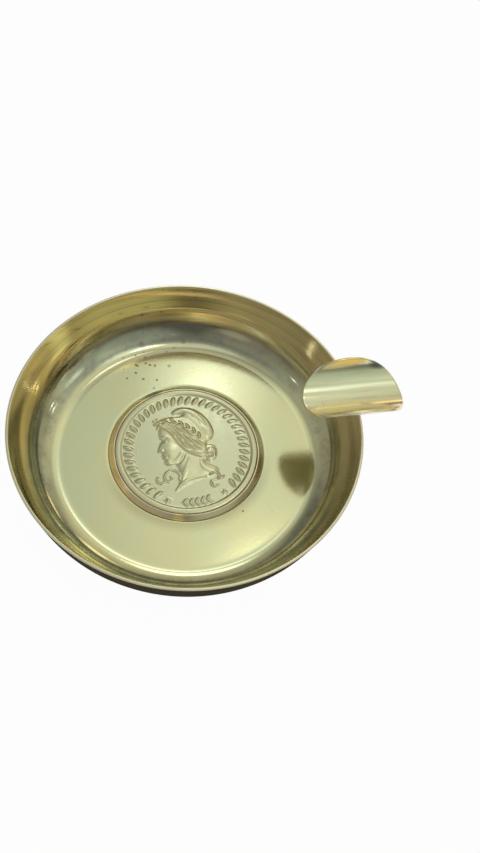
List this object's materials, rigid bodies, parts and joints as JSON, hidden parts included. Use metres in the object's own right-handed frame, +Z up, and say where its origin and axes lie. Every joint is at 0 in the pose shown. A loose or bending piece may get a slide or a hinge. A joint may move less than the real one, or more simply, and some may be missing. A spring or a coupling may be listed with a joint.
{
  "type": "ashtray",
  "caption": "Round shallow metal ashtray with a coin set flush in its floor and a bent gutter on its rim that holds a cigarette.",
  "frame": {"origin": "centre of the flat foot that the ashtray stands on", "axes": "+Z up, square to the foot; +X from the middle of the bowl towards the cigarette rest"},
  "size_m": [0.0863, 0.0762, 0.0244],
  "materials": {
    "bowl_brass": "satin floor, polished wall, lightly tarnished",
    "coin_metal": "struck, satin, darker in the recesses",
    "collar_brass": "polished",
    "rest_brass": "polished, lightly scratched",
    "solder": "dull"
  },
  "bodies": {
    "root": {"bowl": "bowl_brass", "coin": "coin_metal", "coin_collar": "collar_brass", "cigarette_rest": "rest_brass", "rest_solder": "solder"}
  },
  "joints": []
}
